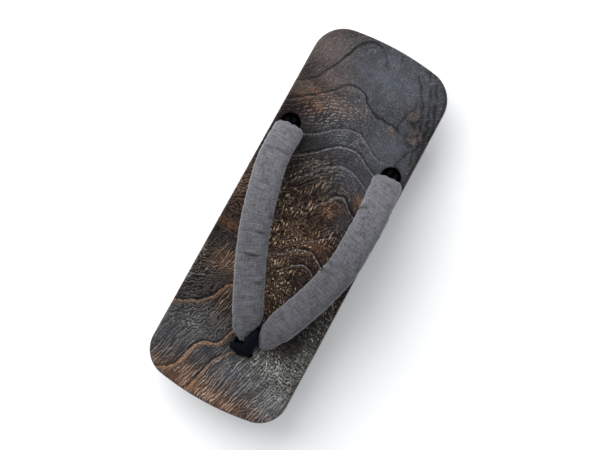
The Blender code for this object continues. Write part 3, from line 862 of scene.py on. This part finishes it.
def loftRings(rows, sideOf, around, fullness, reach, swell=None):
    rings, lengths = [], wayAlong(rows)
    last = len(rows) - 1
    angles = evenTurns(around)
    c, s = np.cos(angles), np.sin(angles)
    for i, row in enumerate(rows):
        along = unit(rows[min(last, i + 1)][:3] - rows[max(0, i - 1)][:3])
        side = sideOf(rows[min(last, i + reach)][:3] - rows[max(0, i - reach)][:3])
        side = unit(side - along * side.dot(along))
        up = np.cross(side, along)
        across = (np.sign(c) * np.abs(c) ** (2 / fullness))[:, None] * side
        lift = (np.sign(s) * np.abs(s) ** (2 / fullness))[:, None] * up
        ring = row[:3] + across * row[3] / 2 + lift * row[4] / 2
        if swell:
            outward = across + lift
            shift = swell(lengths[i], lengths[-1], angles)
            ring += outward / np.linalg.norm(outward, axis=1)[:, None] * shift[:, None]
        rings.append(ring)
    return np.array(rings), lengths


def clothMesh(name, rows, around, fullness, reach, girth, swell=None):
    # The cloth lies around the arm in u and along it in v, in metres
    rings, lengths = loftRings(rows, levelSide, around, fullness, reach, swell)
    mesh = meshFromRings(name, rings)
    coords = [((j + dj) / around * girth, lengths[i + di]) for i in range(len(rows) - 1)
              for j in range(around) for di, dj in ((0, 0), (0, 1), (1, 1), (1, 0))]
    coords += [(0.0, 0.0)] * (len(mesh.loops) - len(coords))
    mesh.uv_layers.new(name="cloth").data.foreach_set("uv", np.ravel(coords))
    return mesh, lengths


def armRows(hole, table, bow, outerSide):
    way = neck - hole
    heading = way.normalized()
    aside = Vector((heading.y, -heading.x)) * outerSide
    seat = hole + heading * block["holeRadius"] * 0.5
    floor = deckTop(hole.y)
    lean = heading * block["holeRadius"] / 8
    rows = [
        (seat.x - lean.x, seat.y - lean.y, floor - thong["seat"], *seatSize),
        (seat.x, seat.y, floor + block["holeRim"] / 2, *seatSize),
    ]
    start = 0.5 * block["holeRadius"] / way.length
    for run, side, rise, width, thickness in np.array(table) / 100:
        place = hole + way * (start + run * (1 - start)) + aside * side * bow
        height = deckTop(place.y) + rise * thong["rise"]
        rows.append((place.x, place.y, height, width * thong["width"], thickness * thong["thickness"]))
    return smoothRows(rows, thong["spanSteps"])


def creaseAmounts(creases, s, total, angles):
    # How deep and how far up the banks beside it each crease is, and how dark its painted shade is, at one
    # ring of the arm
    trough, bank, dark = np.zeros((3, len(angles)))
    for share, middle, spread, depth, width in creases:
        width *= mm
        bend = (s - share * total) + 0.6 * mm * np.sin(2 * angles + share * 40)
        turnAway = np.abs((angles - radians(middle) + pi) % tau - pi)
        reach = bell(turnAway, radians(spread))
        trough += depth * mm * reach * bell(bend, width)
        bank += 0.45 * depth * mm * reach * bell(np.abs(bend) - 2.2 * width, 1.2 * width)
        dark = np.maximum(dark, min(1.0, 1.4 * depth) * reach * bell(bend, 1.25 * width))
    return trough, bank, dark


def clothSwell(creases, seed):
    turn = np.random.default_rng(seed)
    waves = [(turn.uniform(0.5, 1.6), turn.integers(1, 5), turn.uniform(0, 6.28)) for _ in range(16)]

    def swell(s, total, angles):
        trough, bank, _ = creaseAmounts(creases, s, total, angles)
        shift = bank - trough
        for pace, turns, phase in waves:
            shift += 0.035 * mm * np.sin(tau * s / (7 * mm) * pace + turns * angles + phase)
        shift += 0.9 * mm * np.cos(angles) ** 2 * bell(s - 12.5 * mm, 3.5 * mm)
        pleats = np.sin(11 * angles + 0.6 * np.sin(3 * angles))
        shift += pleats * mm * (0.30 * bell(s - 11 * mm, 5 * mm) + 0.22 * bell(total - s, 9 * mm))
        under = np.abs((angles - 0.5 * pi) % tau - pi)
        stitch = 0.75 + 0.25 * cos(tau * s / (3.2 * mm))
        return shift + mm * (0.45 * stitch * bell(under, 0.10) - 0.25 * bell(under - 0.2, 0.08))

    return swell


def stuffedArm(name, hole, table, bow, outerSide, creases, seed, material):
    rows = armRows(hole, table, bow, outerSide)
    around = thong["around"]
    mesh, lengths = clothMesh(name, rows, around, thong["fullness"], thong["headingReach"], cloth["girth"],
                                clothSwell(creases, seed))
    turns = evenTurns(around)
    inward = smoothStep(-10 * mm, 30 * mm, meshPoints(mesh)[:, 0])
    share = np.repeat(lengths / lengths[-1], around)
    # Painted light and shade: the arms darken towards the neck, the inner one more, and the inner arm is
    # lighter at its heel end
    storeValues(mesh, "armLightAndShade", 1.0 - smoothStep(0.2, 0.65, share) * (0.20 + 0.14 * inward) + 0.08 * inward)
    # Painted shade in the creases
    folds = [creaseAmounts(creases, s, lengths[-1], turns)[2] for s in lengths]
    storeValues(mesh, "creaseShade", np.concatenate(folds))
    faceOutward(mesh, weld=False)
    obj = newObject(name, mesh, material)
    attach(obj, "root")
    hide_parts("straps")


def greyCotton():
    material, shader = newMaterial("greyCotton")
    uv = addNode("ShaderNodeUVMap", uv_map="cloth").outputs[0]
    aroundArm, alongArm = axes(uv)[:2]
    drift = noiseAt(uv, 300.0, 2.0)
    slub = noiseAt(uv, 1.0, 2.0, 0.6, stretch=(190.0, 1100.0))
    warpSlub = noiseAt(uv, 1.0, 2.0, 0.6, stretch=(1100.0, 240.0))
    rib = wave(timesPlus(alongArm, tau / cloth["rib"], times(drift, 5.0)))
    thread = wave(times(aroundArm, tau / cloth["thread"]))
    tone = timesPlus(slub, 0.55, times(warpSlub, 0.45))
    grain = noiseAt(uv, 1.0, 1.0, 0.5, stretch=(900.0, 1500.0))
    for pattern, share in ((rib, 0.07), (noiseAt(uv, 150.0, 3.0), 0.24), (grain, 0.34)):
        tone = timesPlus(pattern, share, calc("SUBTRACT", tone, share / 2))
    tone = ramp(tone, 0.34, 0.66)
    body = blendColors(tone, cloth["dark"], cloth["light"])
    for hem in cloth["hems"]:
        away = calc("ABSOLUTE", calc("SUBTRACT", calc("DIVIDE", aroundArm, cloth["girth"]), hem))
        thin = times(ramp(away, 0.004, 0.011, 1.0, 0.0), slub)
        body = blendColors(times(thin, 0.7), body, cloth["pale"])
    # Painted shade in the creases, then the arms' painted light and shade
    body = scaled(blendColors(stored("creaseShade"), body, cloth["creaseShade"]), stored("armLightAndShade"))
    height = timesPlus(thread, 0.03, timesPlus(rib, 0.05, times(slub, 0.12)))
    surface(shader, height, 0.9, 1.0, {"Base Color": body, "Roughness": 0.88, "Specular IOR Level": 0.25,
                                       "Sheen Weight": 0.15, "Sheen Roughness": 0.5})
    return material


cotton = greyCotton()
stuffedArm("outerArm", outerHole, outerArm, thong["outerBow"], 1, outerCreases, 11, cotton)
stuffedArm("innerArm", innerHole, innerArm, thong["innerBow"], -1, innerCreases, 12, cotton)


def neckBar(material):
    height = deckTop(neck.y) + thong["neckHeight"]
    sizes = ((-1.0, 0.5), (-0.8, 0.9), (-0.4, 1.0), (0.4, 1.0), (0.8, 0.9), (1.0, 0.5))
    rows = [(neck.x + share * thong["neckSpan"] / 2, neck.y, height, size * thong["neckDepth"],
             size * thong["neckThickness"]) for share, size in sizes]
    mesh, _ = clothMesh("neckBar", smoothRows(rows, 8), 36, 2.3, 40, 25 * mm)
    obj = newObject("neckBar", mesh, material)
    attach(obj, "root")
    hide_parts("straps")


neckBar(cotton)
print("thong stuffed")


# Velvet loop

loop = {
    "width": 7.6 * mm,
    "backWidth": 3.4 * mm,
    "fanWidth": 16.5 * mm,
    "thickness": 4.7 * mm,
    "room": 0.7 * mm,
    "gap": 0.3 * mm,
    "dark": (0.0010, 0.0014, 0.0030),
    "light": (0.0028, 0.0038, 0.0070),
    "sheen": (0.08, 0.10, 0.16, 1.0),
}


def blackVelvet():
    material, shader = newMaterial("blackVelvet")
    place = objectPlace()
    nap = noiseAt(place, 2600.0, 2.0, 0.7)
    body = blendColors(noiseAt(place, 300.0, 2.0), loop["dark"], loop["light"])
    surface(shader, nap, 0.6, 0.15, {"Base Color": body, "Roughness": 0.95, "Specular IOR Level": 0.06,
                                     "Sheen Weight": 0.05, "Sheen Roughness": 0.35,
                                     "Sheen Tint": loop["sheen"]})
    return material


def velvetLoop(material):
    floor = deckTop(toeHole.y)
    neckHeight = floor + thong["neckHeight"]
    frontY = toeHole.y - block["holeRadius"] * 0.5
    backY = toeHole.y + block["holeRadius"] * 0.5
    thick = loop["thickness"]
    reach = thong["neckDepth"] / 2 + loop["room"] + thick / 2
    lift = thong["neckThickness"] / 2 + loop["gap"] + thick / 2
    low = neckHeight - thong["neckThickness"] / 2
    mouth = floor + block["holeRim"] / 2
    shoulder = 0.7 * reach
    rows = [
        (toeHole.x, frontY, floor - thong["seat"], *seatSize),
        (toeHole.x, frontY, mouth, *seatSize),
        (toeHole.x, frontY, floor + 0.6 * thick, loop["fanWidth"], 1.3 * thick),
        (toeHole.x, neck.y - 1.35 * reach, low - 0.4 * thick, 0.86 * loop["fanWidth"], 1.2 * thick),
        (neck.x, neck.y - reach, neckHeight, 1.1 * loop["width"], thick),
        (neck.x, neck.y - shoulder, neckHeight + 0.75 * lift, loop["width"], thick),
        (neck.x, neck.y, neckHeight + lift, loop["width"], thick),
        (neck.x, neck.y + shoulder, neckHeight + 0.75 * lift, 1.1 * loop["backWidth"], thick),
        (neck.x, neck.y + reach, neckHeight, loop["backWidth"], 0.9 * thick),
        (neck.x, neck.y + reach, low, loop["backWidth"], 0.9 * thick),
        (toeHole.x, backY, mouth, *seatSize),
        (toeHole.x, backY, floor - thong["seat"], *seatSize),
    ]
    turn = np.random.default_rng(21)
    waves = [(turn.uniform(0.5, 1.8), turn.integers(2, 7), turn.uniform(0, 6.28)) for _ in range(12)]

    def folds(s, total, angles):
        shift = 0.10 * mm * np.sin(5 * angles + 2.0 * sin(s / (5 * mm)))
        for pace, turns, phase in waves:
            shift += 0.030 * mm * np.sin(tau * s / (6 * mm) * pace + turns * angles + phase)
        return shift

    rings, _ = loftRings(smoothRows(rows, 12), lambda along: np.array((1.0, 0.0, 0.0)), 56, 2.5, 1, folds)
    mesh = meshFromRings("velvetLoop", rings)
    faceOutward(mesh)
    obj = newObject("velvetLoop", mesh, material)
    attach(obj, "root")
    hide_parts("toe_loop")


velvetLoop(blackVelvet())
print("loop laid over the neck")


# Tied cords under the deck

knot = {
    "radius": 8.5 * mm,
    "cord": 2.7 * mm,
    "tail": 17 * mm,
    "gap": 0.3 * mm,
    "strands": 3,
    "lay": 9 * mm,  # one full twist of the strands
    "turns": 2.15,
    "dark": (0.0012, 0.0012, 0.002),
    "light": (0.005, 0.005, 0.007),
}
knots = (
    ("toe_knot", toeHole, (0.1, pi - 0.2)),
    ("outer_knot", outerHole, (0.0, -1.2)),
    ("inner_knot", innerHole, (pi, -1.9)),
)


def blackCord():
    material, shader = newMaterial("blackCord")
    fibre = noiseAt(objectPlace(), 1800.0, 3.0, 0.65)
    body = blendColors(fibre, knot["dark"], knot["light"])
    surface(shader, fibre, 0.7, 0.2, {"Base Color": body, "Roughness": 0.9, "Specular IOR Level": 0.06})
    return material


def twistedCord(points, radius, step=0.7 * mm, around=18):
    rows = smoothRows([tuple(p) + (0.0, 0.0) for p in points], 14)[:, :3]
    lengths = wayAlong(rows)
    even = np.linspace(0.0, lengths[-1], max(4, int(lengths[-1] / step)))
    path = np.column_stack([np.interp(even, lengths, rows[:, i]) for i in range(3)])
    side = np.array((0.0, 0.0, 1.0))
    rings, lengths = [], wayAlong(path)
    angles = evenTurns(around)
    last = len(path) - 1
    for i, point in enumerate(path):
        along = unit(path[min(last, i + 1)] - path[max(0, i - 1)])
        side = side - along * side.dot(along)
        if np.linalg.norm(side) < 1e-6:
            side = np.array((1.0, 0.0, 0.0)) - along * along[0]
        side = unit(side)
        up = np.cross(side, along)
        twist = tau * lengths[i] / knot["lay"]
        size = radius * (0.90 + 0.10 * np.abs(np.cos(knot["strands"] / 2 * (angles - twist))) ** 0.7)
        size = size * min(1.0, sqrt(0.25 + min(i, last - i) * 0.35))
        rings.append(point + size[:, None] * (np.cos(angles)[:, None] * side + np.sin(angles)[:, None] * up))
    return np.array(rings)


def risingCords(hole, top):
    # Two cords come down behind the arm's end to the knot
    heading = (neck - hole).normalized()
    aside = Vector((heading.y, -heading.x))
    made = []
    for side in (-1, 1):
        points = []
        for back, lift in ((-3.4, -3.0), (-3.7, 0.2), (-3.2, 2.0), (-1.9, 3.1), (-0.3, 3.5)):
            spot = hole + heading * back * mm + aside * side * 2.35 * mm
            points.append((spot.x, spot.y, top + lift * mm))
        made.append(twistedCord(points, 1.9 * mm, 0.5 * mm))
    return made


def tiedKnot(name, hole, tails, material):
    top = deckTop(hole.y) - thong["seat"] - 3 * knot["gap"]
    mouth = min(heightBelow(hole.y + side * knot["radius"]) for side in (-1, 0, 1))
    cord = knot["cord"]
    ringRadius = knot["radius"] - cord
    upper = mouth - knot["gap"] - cord
    lower = upper - 1.5 * cord

    def spot(reach, angle, height):
        return np.array((hole.x + reach * cos(angle), hole.y + reach * sin(angle), height))

    path = []
    for share in np.linspace(0.0, 1.0, 27):
        angle = tails[0] + 2.2 + share * knot["turns"] * tau
        height = upper + (lower - upper) * share + 0.25 * cord * sin(3 * angle)
        reach = ringRadius * (1 - 0.10 * cos(2 * angle))
        path.append(spot(reach, angle, height))
    meshes = [twistedCord(path, cord * 0.98)]
    bridge = []
    for share in (-1.0, -0.7, -0.3, 0.1, 0.5, 0.85, 1.0):
        height = upper + 0.1 * cord - (upper - lower + cord) * sqrt(1 - share**2)
        bridge.append(spot(share * ringRadius, tails[0] + 1.3, height))
    meshes.append(twistedCord(bridge, cord * 0.92))
    for number, angle in enumerate(tails):
        points = []
        for share in (0.05, 0.25, 0.45, 0.65, 0.85, 1.0):
            swing = angle + 0.18 * sin(3 * share + number)
            points.append(spot(knot["tail"] * share, swing, lower - cord * share**2 * 0.95))
        meshes.append(twistedCord(points, cord * 0.96))
    if name != "toe_knot":
        meshes += risingCords(hole, top)
    plug = []
    angles = evenTurns(48)
    profile = ((top, 0.10), (top, 0.55), (top - 0.4 * mm, 0.82), (top - 1.4 * mm, 0.97), (top - 3 * mm, 1.0),
               (mouth + 1 * mm, 1.0), (mouth - 1 * mm, 0.93), (lower, 0.80), (lower - cord, 0.55))
    for height, share in profile:
        size = plugRadius * share * (1 - 0.10 * (1 - np.abs(np.cos(2 * angles + height * 260)) ** 0.6))
        plug.append(np.column_stack((hole.x + size * np.cos(angles), hole.y + size * np.sin(angles),
                                     np.full(len(angles), height))))
    meshes.append(np.array(plug))
    bm = bmesh.new()
    for rings in meshes:
        part = meshFromRings(name, rings)
        faceOutward(part)
        bm.from_mesh(part)
        bpy.data.meshes.remove(part)
    mesh = bpy.data.meshes.new(name)
    bm.to_mesh(mesh)
    bm.free()
    obj = newObject(name.replace("_knot", "TiedKnot"), mesh, material)
    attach(obj, "root")
    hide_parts(name)


cordMaterial = blackCord()
for row in knots:
    tiedKnot(*row, cordMaterial)
print("knots tied")


# Floor and light

studio = {
    "floorSize": 6.0,
    "floorColor": (0.93, 0.93, 0.925),
    "skyColor": (0.93, 0.96, 1.0, 1.0),
    "skyStrength": 0.70,
    "keySize": 1.25,
    "keyPower": 12.0,
    "keyUp": 0.50,  # along the picture's height
    "keyRight": -0.34,  # along its width
    "keyHeight": 0.62,
    "fillPower": 6.0,
}


def paleFloor():
    material, shader = newMaterial("paleFloor")
    mottle = noiseAt(objectPlace(), 3.0, 3.0)
    shade = tuple(0.985 * c for c in studio["floorColor"])
    feed(shader.inputs["Base Color"], blendColors(mottle, shade, studio["floorColor"]))
    feed(shader.inputs["Roughness"], 0.9)
    half = studio["floorSize"] / 2
    mesh = bpy.data.meshes.new("paleFloor")
    corners = [(-half, -half, 0), (half, -half, 0), (half, half, 0), (-half, half, 0)]
    mesh.from_pydata(corners, [], [(0, 1, 2, 3)])
    floor = newObject("paleFloor", mesh, material)
    floor.location.z = -0.2 * mm


def softLamp(name, place, size, power):
    data = bpy.data.lights.new(name, "AREA")
    data.shape = "DISK"
    data.size = size
    data.energy = power
    lamp = newObject(name, data)
    lamp.location = place
    lamp.rotation_euler = (Vector((0.0, 0.0, 0.03)) - Vector(place)).to_track_quat("-Z", "Y").to_euler()


paleFloor()
world = bpy.data.worlds.new("studio")
world.use_nodes = True
sky = world.node_tree.nodes["Background"].inputs
sky["Color"].default_value = studio["skyColor"]
sky["Strength"].default_value = studio["skyStrength"]
bpy.context.scene.world = world
keyPlace = pictureUp * studio["keyUp"] + pictureRight * studio["keyRight"]
keyPlace.z += studio["keyHeight"]
softLamp("keyLamp", keyPlace, studio["keySize"], studio["keyPower"])
softLamp("topLamp", (0.1, 0.5, 2.4), 1.6, studio["fillPower"])
bpy.context.scene.view_settings.view_transform = "Standard"
print("floor and lamps set")
